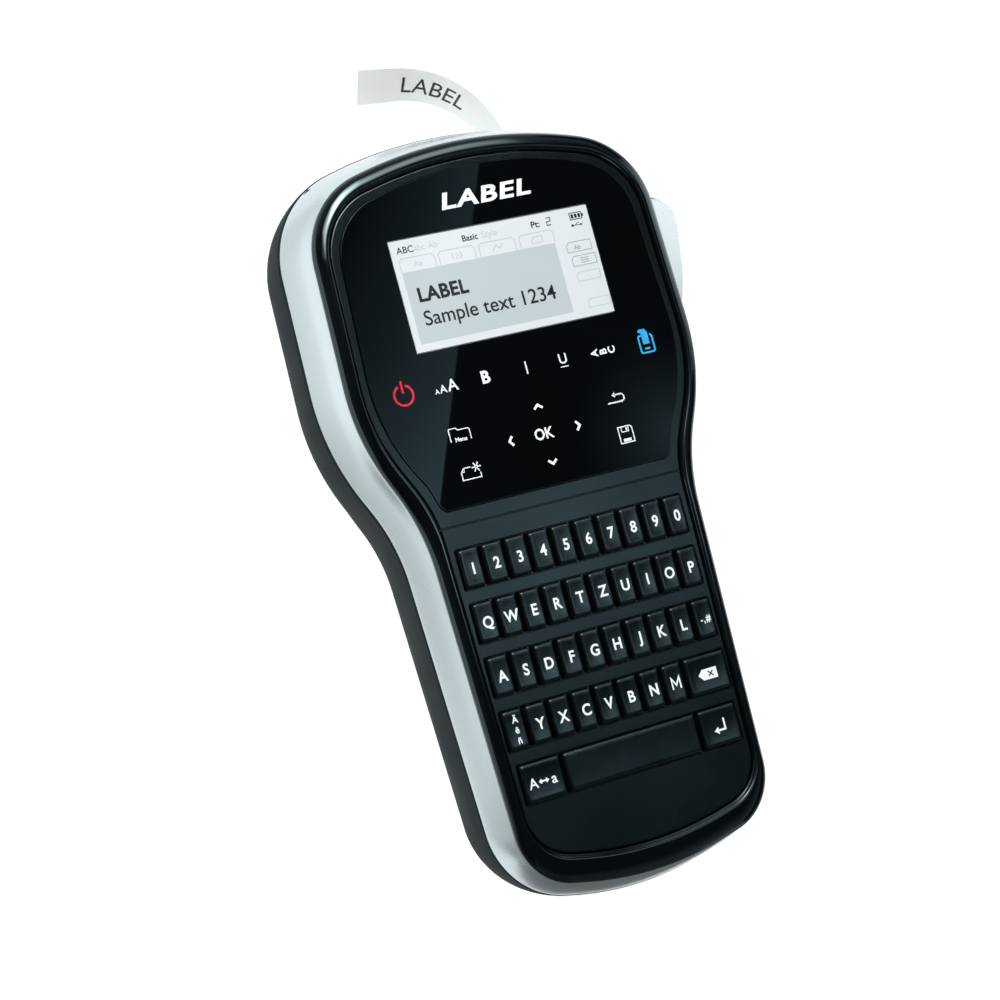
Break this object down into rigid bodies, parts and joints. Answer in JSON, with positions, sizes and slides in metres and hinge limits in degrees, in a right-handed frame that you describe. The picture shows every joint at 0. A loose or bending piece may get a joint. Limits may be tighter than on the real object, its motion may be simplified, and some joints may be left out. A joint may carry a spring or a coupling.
{
  "type": "electronic label maker",
  "caption": "Hand-held electronic label maker with a display, a small letter keyboard, a side cutter lever and a printed label curling out of its head.",
  "frame": {"origin": "centre of the flat back, on the table plane, midway between the two ends of the housing", "axes": "+Z out of the front face, +Y towards the head where the label leaves, +X to the right as the keys are read"},
  "size_m": [0.1174, 0.2357, 0.0508],
  "materials": {
    "front_bezel": "high-gloss black",
    "display_panel": "mirror-gloss black",
    "lcd_module": "pale grey screen",
    "keypad_frame": "matte dark slate",
    "side_shell": "satin silver paint on plastic",
    "rear_cover": "finely grained dark grey",
    "main_board": "green circuit laminate",
    "battery_pack": "dark blue wrap",
    "tape_cassette": "moulded dark plastic",
    "print_head": "plain",
    "drive_motor": "plated can",
    "printed_label": "white laminated tape",
    "battery_cover": "finely grained dark grey",
    "cassette_door": "finely grained dark grey",
    "cutter_button": "satin silver paint on plastic",
    "cutter_blade": "ground steel",
    "platen_roller": "black rubber roller with moulded gear",
    "drive_gear": "natural moulded plastic",
    "key_1": "matte dark slate",
    "key_2": "matte dark slate",
    "key_3": "matte dark slate",
    "key_4": "matte dark slate",
    "key_5": "matte dark slate",
    "key_6": "matte dark slate",
    "key_7": "matte dark slate",
    "key_8": "matte dark slate",
    "key_9": "matte dark slate",
    "key_0": "matte dark slate",
    "key_q": "matte dark slate",
    "key_w": "matte dark slate",
    "key_e": "matte dark slate",
    "key_r": "matte dark slate",
    "key_t": "matte dark slate",
    "key_z": "matte dark slate",
    "key_u": "matte dark slate",
    "key_i": "matte dark slate",
    "key_o": "matte dark slate",
    "key_p": "matte dark slate",
    "key_a": "matte dark slate",
    "key_s": "matte dark slate",
    "key_d": "matte dark slate",
    "key_f": "matte dark slate",
    "key_g": "matte dark slate",
    "key_h": "matte dark slate",
    "key_j": "matte dark slate",
    "key_k": "matte dark slate",
    "key_l": "matte dark slate",
    "key_symbols": "matte dark slate",
    "key_accents": "matte dark slate",
    "key_y": "matte dark slate",
    "key_x": "matte dark slate",
    "key_c": "matte dark slate",
    "key_v": "matte dark slate",
    "key_b": "matte dark slate",
    "key_n": "matte dark slate",
    "key_m": "matte dark slate",
    "key_backspace": "matte dark slate",
    "key_shift": "matte dark slate",
    "key_space": "matte dark slate",
    "key_enter": "matte dark slate"
  },
  "bodies": {
    "housing": {"front_bezel": "front_bezel", "display_panel": "display_panel", "lcd_module": "lcd_module", "keypad_frame": "keypad_frame", "side_shell": "side_shell", "rear_cover": "rear_cover", "main_board": "main_board", "battery_pack": "battery_pack", "tape_cassette": "tape_cassette", "print_head": "print_head", "drive_motor": "drive_motor", "printed_label": "printed_label"},
    "battery_cover": {"battery_cover": "battery_cover"},
    "cassette_door": {"cassette_door": "cassette_door"},
    "cutter_button": {"cutter_button": "cutter_button"},
    "cutter_blade": {"cutter_blade": "cutter_blade"},
    "platen_roller": {"platen_roller": "platen_roller"},
    "drive_gear": {"drive_gear": "drive_gear"},
    "key_1": {"key_1": "key_1"},
    "key_2": {"key_2": "key_2"},
    "key_3": {"key_3": "key_3"},
    "key_4": {"key_4": "key_4"},
    "key_5": {"key_5": "key_5"},
    "key_6": {"key_6": "key_6"},
    "key_7": {"key_7": "key_7"},
    "key_8": {"key_8": "key_8"},
    "key_9": {"key_9": "key_9"},
    "key_0": {"key_0": "key_0"},
    "key_q": {"key_q": "key_q"},
    "key_w": {"key_w": "key_w"},
    "key_e": {"key_e": "key_e"},
    "key_r": {"key_r": "key_r"},
    "key_t": {"key_t": "key_t"},
    "key_z": {"key_z": "key_z"},
    "key_u": {"key_u": "key_u"},
    "key_i": {"key_i": "key_i"},
    "key_o": {"key_o": "key_o"},
    "key_p": {"key_p": "key_p"},
    "key_a": {"key_a": "key_a"},
    "key_s": {"key_s": "key_s"},
    "key_d": {"key_d": "key_d"},
    "key_f": {"key_f": "key_f"},
    "key_g": {"key_g": "key_g"},
    "key_h": {"key_h": "key_h"},
    "key_j": {"key_j": "key_j"},
    "key_k": {"key_k": "key_k"},
    "key_l": {"key_l": "key_l"},
    "key_symbols": {"key_symbols": "key_symbols"},
    "key_accents": {"key_accents": "key_accents"},
    "key_y": {"key_y": "key_y"},
    "key_x": {"key_x": "key_x"},
    "key_c": {"key_c": "key_c"},
    "key_v": {"key_v": "key_v"},
    "key_b": {"key_b": "key_b"},
    "key_n": {"key_n": "key_n"},
    "key_m": {"key_m": "key_m"},
    "key_backspace": {"key_backspace": "key_backspace"},
    "key_shift": {"key_shift": "key_shift"},
    "key_space": {"key_space": "key_space"},
    "key_enter": {"key_enter": "key_enter"}
  },
  "joints": [
    {"name": "battery_cover_slide", "type": "slide", "parent": "housing", "child": "battery_cover", "axis": [0, -1, 0], "range_m": [0, 0.06]},
    {"name": "cassette_door_hinge", "type": "hinge", "parent": "housing", "child": "cassette_door", "pos_m": [0, 0.0331, 0.0016], "axis": [-1, 0, 0], "range_deg": [0, 90]},
    {"name": "cutter_button_press", "type": "hinge", "parent": "housing", "child": "cutter_button", "pos_m": [0.048, 0.047, 0.03935], "axis": [0, 0, 1], "range_deg": [0, 9], "stiffness_Nm_per_rad": 0.4, "springref_deg": -3.44},
    {"name": "cutter_blade_slide", "type": "slide", "parent": "housing", "child": "cutter_blade", "axis": [-1, 0, 0], "range_m": [0, 0.005]},
    {"name": "drive_gear_spin", "type": "hinge", "parent": "housing", "child": "drive_gear", "pos_m": [0.037, 0.04837, 0.0229], "axis": [0, 0, 1], "continuous": true},
    {"name": "drive_platen_spin", "type": "hinge", "parent": "housing", "child": "platen_roller", "pos_m": [0.0343, 0.058, 0.013], "axis": [0, 0, 1], "continuous": true},
    {"name": "key_1_press", "type": "slide", "parent": "housing", "child": "key_1", "axis": [0, 0, -1], "range_m": [0, 0.0012], "stiffness_N_per_m": 300, "springref_m": -0.001},
    {"name": "key_2_press", "type": "slide", "parent": "housing", "child": "key_2", "axis": [0, 0, -1], "range_m": [0, 0.0012], "stiffness_N_per_m": 300, "springref_m": -0.001},
    {"name": "key_3_press", "type": "slide", "parent": "housing", "child": "key_3", "axis": [0, 0, -1], "range_m": [0, 0.0012], "stiffness_N_per_m": 300, "springref_m": -0.001},
    {"name": "key_4_press", "type": "slide", "parent": "housing", "child": "key_4", "axis": [0, 0, -1], "range_m": [0, 0.0012], "stiffness_N_per_m": 300, "springref_m": -0.001},
    {"name": "key_5_press", "type": "slide", "parent": "housing", "child": "key_5", "axis": [0, 0, -1], "range_m": [0, 0.0012], "stiffness_N_per_m": 300, "springref_m": -0.001},
    {"name": "key_6_press", "type": "slide", "parent": "housing", "child": "key_6", "axis": [0, 0, -1], "range_m": [0, 0.0012], "stiffness_N_per_m": 300, "springref_m": -0.001},
    {"name": "key_7_press", "type": "slide", "parent": "housing", "child": "key_7", "axis": [0, 0, -1], "range_m": [0, 0.0012], "stiffness_N_per_m": 300, "springref_m": -0.001},
    {"name": "key_8_press", "type": "slide", "parent": "housing", "child": "key_8", "axis": [0, 0, -1], "range_m": [0, 0.0012], "stiffness_N_per_m": 300, "springref_m": -0.001},
    {"name": "key_9_press", "type": "slide", "parent": "housing", "child": "key_9", "axis": [0, 0, -1], "range_m": [0, 0.0012], "stiffness_N_per_m": 300, "springref_m": -0.001},
    {"name": "key_0_press", "type": "slide", "parent": "housing", "child": "key_0", "axis": [0, 0, -1], "range_m": [0, 0.0012], "stiffness_N_per_m": 300, "springref_m": -0.001},
    {"name": "key_q_press", "type": "slide", "parent": "housing", "child": "key_q", "axis": [0, 0, -1], "range_m": [0, 0.0012], "stiffness_N_per_m": 300, "springref_m": -0.001},
    {"name": "key_w_press", "type": "slide", "parent": "housing", "child": "key_w", "axis": [0, 0, -1], "range_m": [0, 0.0012], "stiffness_N_per_m": 300, "springref_m": -0.001},
    {"name": "key_e_press", "type": "slide", "parent": "housing", "child": "key_e", "axis": [0, 0, -1], "range_m": [0, 0.0012], "stiffness_N_per_m": 300, "springref_m": -0.001},
    {"name": "key_r_press", "type": "slide", "parent": "housing", "child": "key_r", "axis": [0, 0, -1], "range_m": [0, 0.0012], "stiffness_N_per_m": 300, "springref_m": -0.001},
    {"name": "key_t_press", "type": "slide", "parent": "housing", "child": "key_t", "axis": [0, 0, -1], "range_m": [0, 0.0012], "stiffness_N_per_m": 300, "springref_m": -0.001},
    {"name": "key_z_press", "type": "slide", "parent": "housing", "child": "key_z", "axis": [0, 0, -1], "range_m": [0, 0.0012], "stiffness_N_per_m": 300, "springref_m": -0.001},
    {"name": "key_u_press", "type": "slide", "parent": "housing", "child": "key_u", "axis": [0, 0, -1], "range_m": [0, 0.0012], "stiffness_N_per_m": 300, "springref_m": -0.001},
    {"name": "key_i_press", "type": "slide", "parent": "housing", "child": "key_i", "axis": [0, 0, -1], "range_m": [0, 0.0012], "stiffness_N_per_m": 300, "springref_m": -0.001},
    {"name": "key_o_press", "type": "slide", "parent": "housing", "child": "key_o", "axis": [0, 0, -1], "range_m": [0, 0.0012], "stiffness_N_per_m": 300, "springref_m": -0.001},
    {"name": "key_p_press", "type": "slide", "parent": "housing", "child": "key_p", "axis": [0, 0, -1], "range_m": [0, 0.0012], "stiffness_N_per_m": 300, "springref_m": -0.001},
    {"name": "key_a_press", "type": "slide", "parent": "housing", "child": "key_a", "axis": [0, 0, -1], "range_m": [0, 0.0012], "stiffness_N_per_m": 300, "springref_m": -0.001},
    {"name": "key_s_press", "type": "slide", "parent": "housing", "child": "key_s", "axis": [0, 0, -1], "range_m": [0, 0.0012], "stiffness_N_per_m": 300, "springref_m": -0.001},
    {"name": "key_d_press", "type": "slide", "parent": "housing", "child": "key_d", "axis": [0, 0, -1], "range_m": [0, 0.0012], "stiffness_N_per_m": 300, "springref_m": -0.001},
    {"name": "key_f_press", "type": "slide", "parent": "housing", "child": "key_f", "axis": [0, 0, -1], "range_m": [0, 0.0012], "stiffness_N_per_m": 300, "springref_m": -0.001},
    {"name": "key_g_press", "type": "slide", "parent": "housing", "child": "key_g", "axis": [0, 0, -1], "range_m": [0, 0.0012], "stiffness_N_per_m": 300, "springref_m": -0.001},
    {"name": "key_h_press", "type": "slide", "parent": "housing", "child": "key_h", "axis": [0, 0, -1], "range_m": [0, 0.0012], "stiffness_N_per_m": 300, "springref_m": -0.001},
    {"name": "key_j_press", "type": "slide", "parent": "housing", "child": "key_j", "axis": [0, 0, -1], "range_m": [0, 0.0012], "stiffness_N_per_m": 300, "springref_m": -0.001},
    {"name": "key_k_press", "type": "slide", "parent": "housing", "child": "key_k", "axis": [0, 0, -1], "range_m": [0, 0.0012], "stiffness_N_per_m": 300, "springref_m": -0.001},
    {"name": "key_l_press", "type": "slide", "parent": "housing", "child": "key_l", "axis": [0, 0, -1], "range_m": [0, 0.0012], "stiffness_N_per_m": 300, "springref_m": -0.001},
    {"name": "key_symbols_press", "type": "slide", "parent": "housing", "child": "key_symbols", "axis": [0, 0, -1], "range_m": [0, 0.0012], "stiffness_N_per_m": 300, "springref_m": -0.001},
    {"name": "key_accents_press", "type": "slide", "parent": "housing", "child": "key_accents", "axis": [0, 0, -1], "range_m": [0, 0.0012], "stiffness_N_per_m": 300, "springref_m": -0.001},
    {"name": "key_y_press", "type": "slide", "parent": "housing", "child": "key_y", "axis": [0, 0, -1], "range_m": [0, 0.0012], "stiffness_N_per_m": 300, "springref_m": -0.001},
    {"name": "key_x_press", "type": "slide", "parent": "housing", "child": "key_x", "axis": [0, 0, -1], "range_m": [0, 0.0012], "stiffness_N_per_m": 300, "springref_m": -0.001},
    {"name": "key_c_press", "type": "slide", "parent": "housing", "child": "key_c", "axis": [0, 0, -1], "range_m": [0, 0.0012], "stiffness_N_per_m": 300, "springref_m": -0.001},
    {"name": "key_v_press", "type": "slide", "parent": "housing", "child": "key_v", "axis": [0, 0, -1], "range_m": [0, 0.0012], "stiffness_N_per_m": 300, "springref_m": -0.001},
    {"name": "key_b_press", "type": "slide", "parent": "housing", "child": "key_b", "axis": [0, 0, -1], "range_m": [0, 0.0012], "stiffness_N_per_m": 300, "springref_m": -0.001},
    {"name": "key_n_press", "type": "slide", "parent": "housing", "child": "key_n", "axis": [0, 0, -1], "range_m": [0, 0.0012], "stiffness_N_per_m": 300, "springref_m": -0.001},
    {"name": "key_m_press", "type": "slide", "parent": "housing", "child": "key_m", "axis": [0, 0, -1], "range_m": [0, 0.0012], "stiffness_N_per_m": 300, "springref_m": -0.001},
    {"name": "key_backspace_press", "type": "slide", "parent": "housing", "child": "key_backspace", "axis": [0, 0, -1], "range_m": [0, 0.0012], "stiffness_N_per_m": 300, "springref_m": -0.001},
    {"name": "key_shift_press", "type": "slide", "parent": "housing", "child": "key_shift", "axis": [0, 0, -1], "range_m": [0, 0.0012], "stiffness_N_per_m": 300, "springref_m": -0.001},
    {"name": "key_space_press", "type": "slide", "parent": "housing", "child": "key_space", "axis": [0, 0, -1], "range_m": [0, 0.0012], "stiffness_N_per_m": 300, "springref_m": -0.001},
    {"name": "key_enter_press", "type": "slide", "parent": "housing", "child": "key_enter", "axis": [0, 0, -1], "range_m": [0, 0.0012], "stiffness_N_per_m": 300, "springref_m": -0.001}
  ],
  "couplings": [
    {"joint": "cutter_blade_slide", "follows": "cutter_button_press", "m_per_rad": 0.0315},
    {"joint": "drive_gear_spin", "follows": "drive_platen_spin", "ratio": -1.5}
  ]
}
